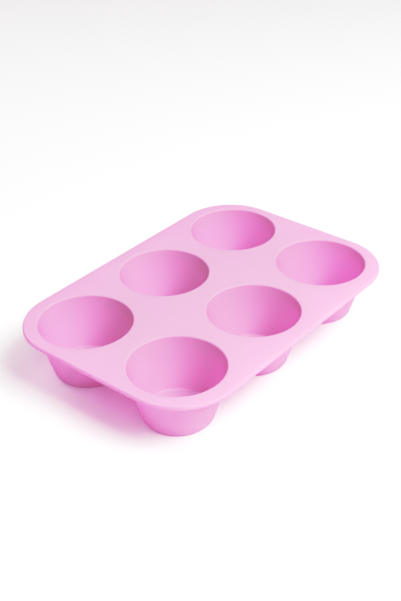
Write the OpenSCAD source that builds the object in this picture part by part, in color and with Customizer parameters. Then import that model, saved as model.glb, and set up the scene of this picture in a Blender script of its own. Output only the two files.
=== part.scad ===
// Silicone soap mould: one flexible tray with six round tapered cups.
// The tray lies along X with its cups in three columns and two rows, and stands on
// the heels of its cups at z = 0. It is one moulding in rubber, drawn here as the
// stretches that move: three deck panels that fold along the webs between the
// columns, the necks, walls and heels of the cups, and the centres of their floors,
// which are pushed up to free a soap.

/* [Deck] */
// Length of the deck along X
deck_l = 263; // [262:1:275]
// Width of the deck along Y
deck_w = 181; // [178:1:200]
// Radius of the deck's corners
corner_r = 44; // [20:1:44]
// Thickness of the deck
deck_t = 3; // [2.4:0.1:4]
// Rounding of the deck's upper rim
rim_round = 1.2; // [0.6:0.1:1.8]

/* [Cups] */
// Distance between the centres of neighbouring cups
pitch = 87.5; // [87:0.5:88]
// Height from the table to the top of the deck
height = 43; // [40:1:48]
// Radius of a cup's mouth at the top of the deck
mouth_r = 35; // [34:0.1:35.4]
// Rounding of the mouth's edge
mouth_round = 1.4; // [0.6:0.1:1.8]
// Outer radius of a cup under the deck, before the flare
neck_r = 36.7; // [36.4:0.1:37]
// Outer radius of a cup at the table, before the heel is rounded
base_r = 25.3; // [25:0.1:28]
// Radius of the cavity's floor
floor_r = 24.2; // [22:0.1:24.4]
// Thickness of the floor
floor_t = 3.4; // [2.4:0.1:4]
// Rounding of the outer heel
heel_round = 3.5; // [1.5:0.1:4]
// Rounding between the cavity's floor and its wall
well_round = 1.5; // [0.8:0.1:3]
// Rounding where a cup flares into the deck's underside
flare_round = 5; // [2:0.1:6.4]

// Height of the thick heel ring at the foot of a cup
heel_h = 5; // [5:0.5:10]

/* [Push pads] */
// Radius of the centre of a floor that a thumb pushes up
pad_r = 19.7; // [15:0.1:20]
// Clearance around the pad
pad_gap = 0.3; // [0.2:0.1:1]
// Height of the pad's underside above the table
pad_lift = 0.3; // [0.2:0.1:1]

/* [Bend lines] */
// Clearance between the rolled edges of neighbouring deck panels
bend_gap = 0.3; // [0.2:0.1:1]

/* [Hidden] */
$fn = 96;
underside_z = height - deck_t;
bend_x = pitch / 2;
bend_r = deck_t / 2;
bend_z = height - bend_r;
heel_r = pad_r + pad_gap;
end_x = bend_x + bend_r + bend_gap;
over = 1;

column_x = [-pitch, 0, pitch];
row_y = [-pitch / 2, pitch / 2];
LEFT = 0;
MIDDLE = 1;
RIGHT = 2;
FRONT = 0;
BACK = 1;

// Directions in a cup's section: out from its axis, in towards it, up its outer
// wall and up the wall of its cavity
outward = [1, 0];
inward = [-1, 0];
wall_up = unit([neck_r - base_r, underside_z]);
well_up = unit([mouth_r - floor_r, height - floor_t]);

function unit(v) = v / norm(v);

// Radius of the cavity at height z
function well_r(z) = floor_r + (z - floor_t) * well_up[0] / well_up[1];

// A rounding of radius r in the corner at p, between the directions a and b:
// how far it reaches along each side, and where its centre lies
function half_angle(a, b) = acos(a * b) / 2;
function round_reach(a, b, r) = r / tan(half_angle(a, b));
function round_centre(p, a, b, r) = p + unit(a + b) * r / sin(half_angle(a, b));

// Height at which a cup's outer wall begins to flare into the deck
neck_z = underside_z - round_reach(outward, -wall_up, flare_round);

// The sliver between a corner that stands out and its rounding, and a little beyond
module corner_sliver(p, a, b, r) {
    reach = round_reach(a, b, r);
    centre = round_centre(p, a, b, r);
    beyond = p - unit(a + b) * over;
    difference() {
        polygon([beyond, p + a * reach, centre, p + b * reach]);
        translate(centre) circle(r);
    }
}

// Section of the deck from a corner's axis out to the rim
module rim_section() {
    square([corner_r - rim_round, deck_t]);
    square([corner_r, deck_t - rim_round]);
    translate([corner_r - rim_round, deck_t - rim_round]) circle(rim_round);
}

// One straight side of the deck of length l, with its rim towards +X
module rim_side(l) {
    translate([0, l / 2, 0]) rotate([90, 0, 0]) linear_extrude(l) rim_section();
}

// The whole deck sheet with no mouths, its underside at z = 0
module deck_sheet() {
    inner_l = deck_l - 2 * corner_r;
    inner_w = deck_w - 2 * corner_r;
    translate([-inner_l / 2, -inner_w / 2, 0]) cube([inner_l, inner_w, deck_t]);
    for (turn = [0, 180]) rotate(turn) {
        translate([inner_l / 2, 0, 0]) rim_side(inner_w);
        rotate(90) translate([inner_w / 2, 0, 0]) rim_side(inner_l);
        for (side = [0, 1]) mirror([0, side, 0]) {
            translate([inner_l / 2, inner_w / 2, 0])
                rotate_extrude(angle = 90) rim_section();
        }
    }
}

// The space that a mouth cuts out of the deck
module mouth() {
    edge = [mouth_r, height];
    reach = round_reach(outward, -well_up, mouth_round);
    centre = round_centre(edge, outward, -well_up, mouth_round);
    rotate_extrude() {
        polygon([
            [0, underside_z - over], [well_r(underside_z - over), underside_z - over],
            edge, edge + [0, over], [0, height + over]
        ]);
        difference() {
            polygon([
                edge - well_up * reach, centre, edge + outward * reach,
                edge + outward * reach + [0, over], edge + [0, over], edge
            ]);
            translate(centre) circle(mouth_round);
        }
    }
}

// The deck's sheet over one column of cups, with that column's two mouths
module deck_panel(column) {
    difference() {
        intersection() {
            translate([0, 0, underside_z]) deck_sheet();
            children();
        }
        for (y = row_y) translate([column_x[column], y, 0]) mouth();
    }
}

// Everything between two values of x, as high and wide as the tray
module slice(x_from, x_to) {
    translate([x_from, -deck_w, 0]) cube([x_to - x_from, 2 * deck_w, 2 * height]);
}

// The middle panel ends in a half-round edge on the axis of each bend
module middle_span() {
    slice(-bend_x, bend_x);
    for (x = [-bend_x, bend_x]) {
        translate([x, 0, bend_z]) rotate([90, 0, 0])
            cylinder(r = bend_r, h = 2 * deck_w, center = true);
    }
}

// Section of a cup, from the ring around its push pad up to the deck
module cup_section() {
    heel = [base_r, 0];
    neck = [neck_r, underside_z];
    well = [floor_r, floor_t];
    flare_reach = round_reach(outward, -wall_up, flare_round);
    flare_centre = round_centre(neck, outward, -wall_up, flare_round);
    well_reach = round_reach(inward, well_up, well_round);
    well_centre = round_centre(well, inward, well_up, well_round);
    difference() {
        polygon([
            [heel_r, 0], heel,
            neck - wall_up * flare_reach, flare_centre, neck + outward * flare_reach,
            [well_r(underside_z), underside_z],
            well + well_up * well_reach, well_centre, well + inward * well_reach,
            [heel_r, floor_t]
        ]);
        translate(flare_centre) circle(flare_round);
        translate(well_centre) circle(well_round);
        corner_sliver(heel, inward, wall_up, heel_round);
    }
}

// The part of a cup's section between two heights, turned about the cup's axis
module cup_band(column, row, z_from, z_to) {
    translate([column_x[column], row_y[row], 0]) rotate_extrude() intersection() {
        cup_section();
        translate([0, z_from]) square([pitch, z_to - z_from]);
    }
}

module cup_neck(column, row) {
    color("thistle") cup_band(column, row, neck_z, height);
}

module cup_wall(column, row) {
    color("plum") cup_band(column, row, heel_h, neck_z);
}

module cup_heel(column, row) {
    color("orchid") cup_band(column, row, 0, heel_h);
}

module cup_floor(column, row) {
    color("hotpink") translate([column_x[column], row_y[row], pad_lift])
        cylinder(r = pad_r, h = floor_t - pad_lift);
}

module deck_left() {
    color("thistle") deck_panel(LEFT) slice(-deck_l, -end_x);
}

module deck_middle() {
    color("thistle") deck_panel(MIDDLE) middle_span();
}

module deck_right() {
    color("thistle") deck_panel(RIGHT) slice(end_x, deck_l);
}

deck_left();
deck_middle();
deck_right();
cup_neck(LEFT, FRONT);  // cup_neck_left_front
cup_neck(LEFT, BACK);  // cup_neck_left_back
cup_neck(MIDDLE, FRONT);  // cup_neck_middle_front
cup_neck(MIDDLE, BACK);  // cup_neck_middle_back
cup_neck(RIGHT, FRONT);  // cup_neck_right_front
cup_neck(RIGHT, BACK);  // cup_neck_right_back
cup_wall(LEFT, FRONT);  // cup_wall_left_front
cup_wall(LEFT, BACK);  // cup_wall_left_back
cup_wall(MIDDLE, FRONT);  // cup_wall_middle_front
cup_wall(MIDDLE, BACK);  // cup_wall_middle_back
cup_wall(RIGHT, FRONT);  // cup_wall_right_front
cup_wall(RIGHT, BACK);  // cup_wall_right_back
cup_heel(LEFT, FRONT);  // cup_heel_left_front
cup_heel(LEFT, BACK);  // cup_heel_left_back
cup_heel(MIDDLE, FRONT);  // cup_heel_middle_front
cup_heel(MIDDLE, BACK);  // cup_heel_middle_back
cup_heel(RIGHT, FRONT);  // cup_heel_right_front
cup_heel(RIGHT, BACK);  // cup_heel_right_back
cup_floor(LEFT, FRONT);  // cup_floor_left_front
cup_floor(LEFT, BACK);  // cup_floor_left_back
cup_floor(MIDDLE, FRONT);  // cup_floor_middle_front
cup_floor(MIDDLE, BACK);  // cup_floor_middle_back
cup_floor(RIGHT, FRONT);  // cup_floor_right_front
cup_floor(RIGHT, BACK);  // cup_floor_right_back
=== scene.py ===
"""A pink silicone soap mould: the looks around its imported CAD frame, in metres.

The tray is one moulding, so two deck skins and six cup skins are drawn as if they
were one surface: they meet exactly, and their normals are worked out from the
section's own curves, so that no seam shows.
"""

import math

import bpy
import numpy as np
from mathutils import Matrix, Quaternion, Vector


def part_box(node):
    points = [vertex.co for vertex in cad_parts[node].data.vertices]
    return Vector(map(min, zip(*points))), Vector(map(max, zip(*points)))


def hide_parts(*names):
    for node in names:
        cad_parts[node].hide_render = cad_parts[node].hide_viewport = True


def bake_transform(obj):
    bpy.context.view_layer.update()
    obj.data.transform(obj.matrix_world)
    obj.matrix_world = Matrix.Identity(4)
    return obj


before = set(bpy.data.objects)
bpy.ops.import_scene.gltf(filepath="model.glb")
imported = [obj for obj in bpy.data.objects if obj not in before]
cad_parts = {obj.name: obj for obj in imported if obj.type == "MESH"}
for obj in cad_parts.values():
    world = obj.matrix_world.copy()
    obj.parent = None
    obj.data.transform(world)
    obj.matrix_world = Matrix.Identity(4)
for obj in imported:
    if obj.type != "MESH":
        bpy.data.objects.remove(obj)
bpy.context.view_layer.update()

# The moulding's section, in metres
MOUTH_RADIUS = 0.035
MOUTH_ROUND = 0.0014
NECK_RADIUS = 0.0367
BASE_RADIUS = 0.0253
WELL_RADIUS = 0.0242
FLOOR_THICKNESS = 0.0034
HEEL_ROUND = 0.0035
WELL_ROUND = 0.0015
FLARE_ROUND = 0.005
RIM_ROUND = 0.0012
RIM_UNDER_ROUND = 0.0005
CORNER_RADIUS = 0.044
PAD_LIFT = 0.0003
PAD_EDGE_WIDTH = 0.0012

# How far the deck's free edge sags, and how wide the sagging margin is
SAG = 0.0008
SAG_WIDTH = 0.011

# Mesh density, and how much the rings of the deck's flat faces crowd towards a cup
QUADRANT_STEPS = 32
FLAT_RINGS = 8
FLAT_CROWDING = 1.15
ROUND_RINGS = 7
RIM_UNDER_RINGS = 4
WALL_RINGS = 26
FLOOR_RINGS = 6

# Points closer than about a ten-millionth of a metre are the same one
POINTS_PER_METRE = 1e7
ON_PLANE = 1e-7
SAME_ANGLE = 1e-9

# Silicone: two near shades of its skin, the colour of light that comes through it and
# how much does, its refractive index, and the scales (per metre), details and
# strengths of its clouding, smears and grain
PINK_DEEP = (0.878, 0.675, 0.815, 1)
PINK_PALE = (0.893, 0.70, 0.83, 1)
PINK_THROUGH = (0.95, 0.18, 0.7, 1)
TRANSLUCENCY = 0.45
REFRACTION = 1.41
CLOUD_SCALE = 22
CLOUD_DETAIL = 3
CLOUD_BAND = (0.3, 0.7)
SMEAR_SCALE = 60
SMEAR_DETAIL = 4
ROUGHNESS = (0.42, 0.54)
GRAIN_SCALE = 1400
GRAIN_DETAIL = 2
GRAIN_DEPTH = 0.00005
GRAIN_STRENGTH = 0.25

# The paper floor: half its side, its grey, its roughness and its faint glow
FLOOR_HALF = 4.0
PAPER_WHITE = (0.97, 0.97, 0.97, 1)
PAPER_ROUGHNESS = 0.9
PAPER_SHINE = 0.1
PAPER_GLOW = 0.05

# The room's own light, and how far the lamps stand from the tray
ROOM_LIGHT = 0.1
LAMP_DISTANCE = 1.6

# Photographic tone curve, as (light in, light out), up to WHITE_LEVEL
WHITE_LEVEL = 1.4
TONE_CURVE = [(0.3, 0.21), (0.5, 0.45), (0.75, 0.7), (1.0, 0.85)]

# How the film lifts red and blue in the shade after that, as (value in, value out)
RED_LIFT = [(0.45, 0.485), (0.6, 0.66), (0.82, 0.83)]
BLUE_LIFT = [(0.2, 0.23), (0.4, 0.455), (0.65, 0.665), (0.82, 0.82)]

# The camera: its direction from the tray and its roll in degrees, how far it stands
# from the point that it looks at on the deck, and its lens in millimetres
CAMERA_AZIMUTH = -50.03
CAMERA_ELEVATION = 32.82
CAMERA_ROLL = -1.105
CAMERA_DISTANCE = 0.7882
CAMERA_AIM = (-0.01475, -0.00505)
CAMERA_LENS = 63.07
CAMERA_SENSOR = 36

ROWS = ("front", "back")
COLUMNS = ("left", "middle", "right")


def unit(v):
    return np.asarray(v, float) / np.linalg.norm(v)


# ---------------------------------------------------------------- frame sizes

deck_low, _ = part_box("deck_left")
_, deck_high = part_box("deck_right")
TOP_Z = deck_high.z
UNDER_Z = deck_low.z
HALF_LENGTH = (deck_high.x - deck_low.x) / 2
HALF_WIDTH = (deck_high.y - deck_low.y) / 2


def cup_centre(column, row):
    low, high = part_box(f"cup_wall_{column}_{row}")
    return (low.x + high.x) / 2, (low.y + high.y) / 2


PITCH = cup_centre("right", "front")[0] - cup_centre("middle", "front")[0]
pad_low, pad_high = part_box("cup_floor_middle_front")
PAD_RADIUS = (pad_high.x - pad_low.x) / 2

OUT = np.array([1.0, 0.0])
UP = np.array([0.0, 1.0])
WALL_UP = unit([NECK_RADIUS - BASE_RADIUS, UNDER_Z])
WELL_UP = unit([MOUTH_RADIUS - WELL_RADIUS, TOP_Z - FLOOR_THICKNESS])


# ---------------------------------------------------------- sections as strips
# A strip is a smooth run of a section: a list of (point, normal) in the (r, z)
# plane. Neighbouring strips share an end point.


def line(start, end, normal, steps):
    """A straight strip."""
    start, end = np.asarray(start, float), np.asarray(end, float)
    return [(start + (end - start) * i / steps, unit(normal)) for i in range(steps + 1)]


def rounding(corner, a, b, radius, steps, hollow=False):
    """The arc that rounds the corner between directions a and b, from a's side to b's.

    A hollow one has its surface facing its own centre.
    """
    corner = np.asarray(corner, float)
    half = math.acos(float(a @ b)) / 2
    centre = corner + unit(a + b) * radius / math.sin(half)
    start = corner + a * radius / math.tan(half) - centre
    end = corner + b * radius / math.tan(half) - centre
    sweep = math.atan2(start[0] * end[1] - start[1] * end[0], float(start @ end))
    strip = []
    for i in range(steps + 1):
        angle = sweep * i / steps
        c, s = math.cos(angle), math.sin(angle)
        arm = np.array([start[0] * c - start[1] * s, start[0] * s + start[1] * c])
        strip.append((centre + arm, unit(-arm if hollow else arm)))
    return strip


MOUTH_ARC = rounding([MOUTH_RADIUS, TOP_Z], OUT, -WELL_UP, MOUTH_ROUND, ROUND_RINGS)
FLARE_ARC = rounding(
    [NECK_RADIUS, UNDER_Z], OUT, -WALL_UP, FLARE_ROUND, ROUND_RINGS, hollow=True
)
SEAM_TOP = MOUTH_ARC[0][0]
SEAM_LOW = FLARE_ARC[-1][0]
WELL_NORMAL = np.array([-WELL_UP[1], WELL_UP[0]])
WALL_NORMAL = np.array([WALL_UP[1], -WALL_UP[0]])
SEAM_NORMAL = unit([-(SEAM_TOP - SEAM_LOW)[1], (SEAM_TOP - SEAM_LOW)[0]])


def cup_section():
    """The strips of one cup: down inside from the mouth's edge, along the floor, back
    under it and up outside."""
    well_arc = rounding(
        [WELL_RADIUS, FLOOR_THICKNESS], WELL_UP, -OUT, WELL_ROUND, ROUND_RINGS, hollow=True
    )
    heel_arc = rounding([BASE_RADIUS, 0], -OUT, WALL_UP, HEEL_ROUND, ROUND_RINGS)
    pad_edge = [PAD_RADIUS, PAD_LIFT]
    ring_edge = [PAD_RADIUS + PAD_EDGE_WIDTH, 0]
    step = np.array(ring_edge) - np.array(pad_edge)
    return [
        MOUTH_ARC,
        line(MOUTH_ARC[-1][0], well_arc[0][0], WELL_NORMAL, WALL_RINGS),
        well_arc,
        line(well_arc[-1][0], [0, FLOOR_THICKNESS], UP, FLOOR_RINGS),
        line([0, PAD_LIFT], pad_edge, -UP, FLOOR_RINGS),
        line(pad_edge, ring_edge, [step[1], -step[0]], 1),
        line(ring_edge, heel_arc[0][0], -UP, 1),
        heel_arc,
        line(heel_arc[-1][0], SEAM_LOW, WALL_NORMAL, WALL_RINGS),
        line(SEAM_LOW, SEAM_TOP, -SEAM_NORMAL, 1),
    ]


# ------------------------------------------------------------------ mesh maker


class Skin:
    """Gathers faces with a normal at each corner, sharing the points that coincide."""

    def __init__(self):
        self.points = []
        self.index = {}
        self.faces = []
        self.normals = []

    def point(self, p):
        key = tuple(round(float(x) * POINTS_PER_METRE) for x in p)
        if key not in self.index:
            self.index[key] = len(self.points)
            self.points.append([float(x) for x in p])
        return self.index[key]

    def face(self, corners):
        """Adds a face from a list of (point, normal), turned to its normals' side.

        Corners that coincide are dropped.
        """
        ids, normals = [], []
        for p, n in corners:
            i = self.point(p)
            if i not in ids:
                ids.append(i)
                normals.append(np.asarray(n, float))
        if len(ids) < 3:
            return
        p = [np.array(self.points[i]) for i in ids]
        facing = sum(np.cross(p[k] - p[0], p[k + 1] - p[0]) for k in range(1, len(p) - 1))
        if facing @ sum(normals) < 0:
            ids.reverse()
            normals.reverse()
        self.faces.append(ids)
        self.normals.extend(normals)

    def band(self, ring_a, ring_b, keep=None):
        """Quads between two rings of (points, normals), where keep allows them."""
        (pa, na), (pb, nb) = ring_a, ring_b
        for i in range(len(pa)):
            j = (i + 1) % len(pa)
            if keep is None or (keep[i] and keep[j]):
                self.face([(pa[i], na[i]), (pa[j], na[j]), (pb[j], nb[j]), (pb[i], nb[i])])

    def loft(self, rings):
        """Bands from each ring to the next."""
        for a, b in zip(rings, rings[1:]):
            self.band(a, b)

    def object(self, name):
        mesh = bpy.data.meshes.new(name)
        mesh.from_pydata(self.points, [], self.faces)
        mesh.polygons.foreach_set("use_smooth", [True] * len(self.faces))
        mesh.normals_split_custom_set([unit(n) for n in self.normals])
        made = bpy.data.objects.new(name, mesh)
        bpy.context.scene.collection.objects.link(made)
        return made


ANGLES = np.arange(4 * QUADRANT_STEPS) * (math.pi / 2 / QUADRANT_STEPS)


def circle(centre, section_point, section_normal):
    """A ring around a cup's axis from one (r, z) point and its normal."""
    (r, z), (nr, nz) = section_point, section_normal
    c, s = np.cos(ANGLES), np.sin(ANGLES)
    points = np.stack([centre[0] + r * c, centre[1] + r * s, np.full_like(c, z)], 1)
    normals = np.stack([nr * c, nr * s, np.full_like(c, nz)], 1)
    return points, normals


# --------------------------------------------------------- the deck's free edge


def edge_distance(x, y):
    """How far a point lies inside the deck's outline."""
    dx = abs(x) - (HALF_LENGTH - CORNER_RADIUS)
    dy = abs(y) - (HALF_WIDTH - CORNER_RADIUS)
    if dx > 0 and dy > 0:
        return CORNER_RADIUS - math.hypot(dx, dy)
    return CORNER_RADIUS - max(dx, dy)


def sag_at(x, y):
    """The change of height at a place: none inside the margin, and a parabola over it."""
    reach = max(0.0, 1 - max(0.0, edge_distance(x, y)) / SAG_WIDTH)
    return -SAG * reach * reach


def sagged(skin):
    """Lets the deck's free edge droop a little, as soft rubber does."""
    tiny = 1e-5
    slopes = {}
    for i, (x, y, z) in enumerate(skin.points):
        slopes[i] = (
            (sag_at(x + tiny, y) - sag_at(x - tiny, y)) / (2 * tiny),
            (sag_at(x, y + tiny) - sag_at(x, y - tiny)) / (2 * tiny),
        )
        skin.points[i][2] = z + sag_at(x, y)
    corners = [i for ids in skin.faces for i in ids]
    for k, i in enumerate(corners):
        n = skin.normals[k]
        sx, sy = slopes[i]
        skin.normals[k] = np.array([n[0] - sx * n[2], n[1] - sy * n[2], n[2]])


# --------------------------------------------------------------------- the deck


def quadrant_border(centre, sx, sy, offset):
    """Border points of one quarter of a cup's cell, from its x side to its y side:
    (points, rim normals, whether each is on the rim).

    offset moves the free sides out from the outline of the deck's flat top, which lies
    inside the deck's own by the rounding of its rim.
    """
    inset = offset - RIM_ROUND
    free_x = abs(centre[0]) > PITCH / 2 and sx * centre[0] > 0
    free_y = sy * centre[1] > 0
    reach_x = HALF_LENGTH + inset - abs(centre[0]) if free_x else PITCH / 2
    reach_y = HALF_WIDTH + inset - abs(centre[1]) if free_y else PITCH / 2
    corner_x = HALF_LENGTH - CORNER_RADIUS - abs(centre[0])
    corner_y = HALF_WIDTH - CORNER_RADIUS - abs(centre[1])
    end_cell = abs(centre[0]) > PITCH / 2
    start_y = (corner_y if free_y else -corner_y) if free_x else 0.0
    start_x = (corner_x if sx * centre[0] > 0 else -corner_x) if end_cell and free_y else 0.0
    points, normals, on_rim = [], [], []
    for step in range(QUADRANT_STEPS + 1):
        angle = math.pi / 2 * step / QUADRANT_STEPS
        if free_x and free_y:
            radius = CORNER_RADIUS + inset
            local = (corner_x + radius * math.cos(angle), corner_y + radius * math.sin(angle))
            normal, rim = (math.cos(angle), math.sin(angle)), True
        elif angle <= math.pi / 4 + SAME_ANGLE:
            local = (reach_x, start_y + (reach_y - start_y) * math.tan(angle))
            normal, rim = (1.0, 0.0), free_x
        else:
            local = (start_x + (reach_x - start_x) * math.tan(math.pi / 2 - angle), reach_y)
            normal, rim = (0.0, 1.0), free_y
        if abs(angle - math.pi / 4) < SAME_ANGLE and free_y and not free_x:
            normal, rim = (0.0, 1.0), True
        points.append((centre[0] + sx * local[0], centre[1] + sy * local[1]))
        normals.append((sx * normal[0], sy * normal[1]))
        on_rim.append(rim)
    return points, normals, on_rim


def cell_border(centre, offset):
    """The whole border of a cup's cell, in step with ANGLES."""
    points, normals, on_rim = [], [], []
    for sx, sy in ((1, 1), (-1, 1), (-1, -1), (1, -1)):
        quarter = [list(q) for q in quadrant_border(centre, sx, sy, offset)]
        if sx * sy < 0:
            quarter = [q[::-1] for q in quarter]
        points += quarter[0][:-1]
        normals += quarter[1][:-1]
        on_rim += quarter[2][:-1]
    return np.array(points), np.array(normals), on_rim


def level(points, z):
    return np.column_stack([points, np.full(len(points), z)])


def flat_rings(circle_ring, border, z, normal):
    """Rings that pass from a circle to a cell's border on a flat face."""
    rings = []
    normals = np.tile(normal, (len(border), 1))
    for k in range(FLAT_RINGS + 1):
        share = (k / FLAT_RINGS) ** FLAT_CROWDING
        points = circle_ring[0] * (1 - share) + level(border, z) * share
        rings.append((points, normals))
    return rings


def rim_section():
    """The deck's edge as ((offset, z), normal), from the flat top round to the underside."""
    top = rounding([RIM_ROUND, TOP_Z], -OUT, -UP, RIM_ROUND, ROUND_RINGS)
    low = rounding([RIM_ROUND, UNDER_Z], UP, -OUT, RIM_UNDER_ROUND, RIM_UNDER_RINGS)
    return top + low


def deck_cell(skin, column, row):
    """The deck around one cup: flat top, free edges, and underside with the cup's flare."""
    centre = cup_centre(column, row)
    rim = rim_section()
    top_border, _, _ = cell_border(centre, 0.0)
    skin.loft(flat_rings(circle(centre, SEAM_TOP, UP), top_border, TOP_Z, (0, 0, 1)))
    rim_rings = []
    for (offset, z), normal in rim:
        points, outward, on_rim = cell_border(centre, offset)
        normals = np.column_stack([outward * normal[0], np.full(len(outward), normal[1])])
        rim_rings.append((level(points, z), normals, on_rim))
    for a, b in zip(rim_rings, rim_rings[1:]):
        skin.band(a[:2], b[:2], keep=a[2])
    low_border, _, _ = cell_border(centre, rim[-1][0][0])
    flare_tip = circle(centre, FLARE_ARC[0][0], -UP)
    skin.loft(flat_rings(flare_tip, low_border, UNDER_Z, (0, 0, -1)))
    skin.loft([circle(centre, p, n) for p, n in FLARE_ARC])
    skin.band(circle(centre, SEAM_LOW, SEAM_NORMAL), circle(centre, SEAM_TOP, SEAM_NORMAL))


def half_of(skin, side):
    """The faces of a skin on one side of x = 0, closed across the cut."""
    half = Skin()
    first = 0
    edges = {}
    for ids in skin.faces:
        normals = skin.normals[first : first + len(ids)]
        first += len(ids)
        points = [np.array(skin.points[i]) for i in ids]
        if side * sum(p[0] for p in points) < 0:
            continue
        half.face(list(zip(points, normals)))
        on_cut = [i for i, p in zip(ids, points) if abs(p[0]) < ON_PLANE]
        if len(on_cut) == 2:
            for i, j in (on_cut, on_cut[::-1]):
                edges.setdefault(i, []).append(j)
    # Follow the edges on the cut round, and close each loop of them with a cap
    while edges:
        loop = [next(iter(edges))]
        while True:
            onward = [j for j in edges[loop[-1]] if j not in loop]
            if not onward:
                break
            loop.append(onward[0])
        for i in loop:
            del edges[i]
        cap = [(skin.points[i], (-side, 0, 0)) for i in loop]
        half.face(cap)
    return half


def make_deck():
    whole = Skin()
    for column in COLUMNS:
        for row in ROWS:
            deck_cell(whole, column, row)
    sagged(whole)
    for name, side in (("left", -1), ("right", 1)):
        piece = half_of(whole, side).object(f"deck_skin_{name}")
        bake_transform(piece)
        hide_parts(f"deck_{name}", "deck_middle")
        finish_piece(piece)


# --------------------------------------------------------------------- the cups


def make_cup(column, row):
    skin = Skin()
    centre = cup_centre(column, row)
    for strip in cup_section():
        skin.loft([circle(centre, p, n) for p, n in strip])
    sagged(skin)
    piece = skin.object(f"cup_skin_{column}_{row}")
    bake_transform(piece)
    ending = f"_{column}_{row}"
    nodes = [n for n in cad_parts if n.startswith("cup_") and n.endswith(ending)]
    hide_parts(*nodes)
    finish_piece(piece)


# ---------------------------------------------------------------- the material


def noise(nodes, links, where, scale, detail):
    """A cloud of noise in the piece's own space."""
    cloud = nodes.new("ShaderNodeTexNoise")
    cloud.inputs["Scale"].default_value = scale
    cloud.inputs["Detail"].default_value = detail
    links.new(where.outputs["Object"], cloud.inputs["Vector"])
    return cloud.outputs["Fac"]


def silicone():
    """Soft pink silicone: a faint cloudiness, a fine matt skin that handling has smeared a
    little glossier in places, and some light that passes through its thin walls."""
    material = bpy.data.materials.new("soft_silicone")
    material.use_nodes = True
    nodes, links = material.node_tree.nodes, material.node_tree.links
    shader, output = nodes["Principled BSDF"], nodes["Material Output"]
    where = nodes.new("ShaderNodeTexCoord")

    tint = nodes.new("ShaderNodeValToRGB")
    for end, place, pink in zip(tint.color_ramp.elements, CLOUD_BAND, (PINK_DEEP, PINK_PALE)):
        end.position = place
        end.color = pink
    links.new(noise(nodes, links, where, CLOUD_SCALE, CLOUD_DETAIL), tint.inputs["Fac"])
    links.new(tint.outputs["Color"], shader.inputs["Base Color"])

    gloss = nodes.new("ShaderNodeMapRange")
    gloss.inputs["To Min"].default_value = ROUGHNESS[0]
    gloss.inputs["To Max"].default_value = ROUGHNESS[1]
    links.new(noise(nodes, links, where, SMEAR_SCALE, SMEAR_DETAIL), gloss.inputs["Value"])
    links.new(gloss.outputs["Result"], shader.inputs["Roughness"])

    bump = nodes.new("ShaderNodeBump")
    bump.inputs["Strength"].default_value = GRAIN_STRENGTH
    bump.inputs["Distance"].default_value = GRAIN_DEPTH
    links.new(noise(nodes, links, where, GRAIN_SCALE, GRAIN_DETAIL), bump.inputs["Height"])
    links.new(bump.outputs["Normal"], shader.inputs["Normal"])
    shader.inputs["IOR"].default_value = REFRACTION

    through = nodes.new("ShaderNodeBsdfTranslucent")
    through.inputs["Color"].default_value = PINK_THROUGH
    links.new(bump.outputs["Normal"], through.inputs["Normal"])
    mix = nodes.new("ShaderNodeMixShader")
    mix.inputs["Fac"].default_value = TRANSLUCENCY
    links.new(shader.outputs["BSDF"], mix.inputs[1])
    links.new(through.outputs["BSDF"], mix.inputs[2])
    links.new(mix.outputs["Shader"], output.inputs["Surface"])
    return material


SILICONE = silicone()


def finish_piece(piece):
    piece.data.materials.append(SILICONE)


# ------------------------------------------------------- floor, light and camera


def make_floor():
    mesh = bpy.data.meshes.new("floor")
    corners = [(x * FLOOR_HALF, y * FLOOR_HALF, 0) for x, y in ((-1, -1), (1, -1), (1, 1), (-1, 1))]
    mesh.from_pydata(corners, [], [(0, 1, 2, 3)])
    floor = bpy.data.objects.new("floor", mesh)
    bpy.context.scene.collection.objects.link(floor)
    paper = bpy.data.materials.new("floor_paper")
    paper.use_nodes = True
    shader = paper.node_tree.nodes["Principled BSDF"]
    shader.inputs["Base Color"].default_value = PAPER_WHITE
    shader.inputs["Roughness"].default_value = PAPER_ROUGHNESS
    shader.inputs["Specular IOR Level"].default_value = PAPER_SHINE
    shader.inputs["Emission Color"].default_value = (1, 1, 1, 1)
    shader.inputs["Emission Strength"].default_value = PAPER_GLOW
    mesh.materials.append(paper)


def towards(azimuth, elevation):
    """The direction from the tray to azimuth and elevation, in degrees. Azimuth 0 lies
    towards -Y and 90 towards +X."""
    a, e = math.radians(azimuth), math.radians(elevation)
    return Vector((math.sin(a) * math.cos(e), -math.cos(a) * math.cos(e), math.sin(e)))


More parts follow.
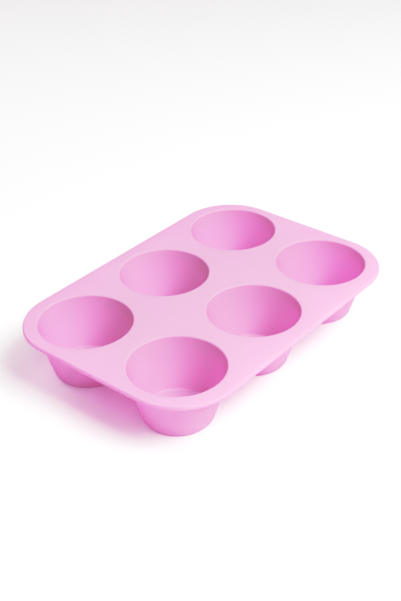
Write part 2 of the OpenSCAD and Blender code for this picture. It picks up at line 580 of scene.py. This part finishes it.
def area_light(name, azimuth, elevation, size, power):
    """A square soft light that looks at the tray."""
    back = towards(azimuth, elevation)
    lamp = bpy.data.lights.new(name, "AREA")
    lamp.size = size
    lamp.energy = power
    light = bpy.data.objects.new(name, lamp)
    light.location = back * LAMP_DISTANCE
    light.rotation_mode = "QUATERNION"
    light.rotation_quaternion = (-back).to_track_quat("-Z", "Y")
    bpy.context.scene.collection.objects.link(light)


def make_light():
    """A soft key from the front, weaker lights from the other sides, and a pale room."""
    world = bpy.data.worlds.new("studio")
    bpy.context.scene.world = world
    world.use_nodes = True
    background = world.node_tree.nodes["Background"]
    background.inputs["Color"].default_value = (1, 1, 1, 1)
    background.inputs["Strength"].default_value = ROOM_LIGHT
    area_light("key", azimuth=5, elevation=52, size=0.8, power=31)
    area_light("side", azimuth=80, elevation=50, size=0.9, power=7)
    area_light("fill", azimuth=306, elevation=43, size=0.9, power=7)
    area_light("back", azimuth=185, elevation=45, size=0.9, power=9)


def make_tone():
    """The camera's response: a gentle S, with the shade lifted in red and blue."""
    view = bpy.context.scene.view_settings
    view.view_transform = "Standard"
    view.use_curve_mapping = True
    mapping = view.curve_mapping
    mapping.white_level = (WHITE_LEVEL,) * 3
    red, _, blue, combined = mapping.curves
    for light_in, light_out in TONE_CURVE:
        combined.points.new(light_in / WHITE_LEVEL, light_out)
    for curve, lift in ((red, RED_LIFT), (blue, BLUE_LIFT)):
        for value_in, value_out in lift:
            curve.points.new(value_in, value_out)
    mapping.update()


def make_camera():
    back = towards(CAMERA_AZIMUTH, CAMERA_ELEVATION)
    lens = bpy.data.cameras.new("camera")
    lens.lens = CAMERA_LENS
    lens.sensor_width = CAMERA_SENSOR
    camera = bpy.data.objects.new("camera", lens)
    camera.location = Vector((*CAMERA_AIM, TOP_Z)) + back * CAMERA_DISTANCE
    camera.rotation_mode = "QUATERNION"
    roll = Quaternion((0, 0, 1), math.radians(CAMERA_ROLL))
    camera.rotation_quaternion = (-back).to_track_quat("-Z", "Y") @ roll
    bpy.context.scene.collection.objects.link(camera)
    bpy.context.scene.camera = camera


make_camera()
make_deck()
for column in COLUMNS:
    for row in ROWS:
        make_cup(column, row)
make_floor()
make_light()
make_tone()
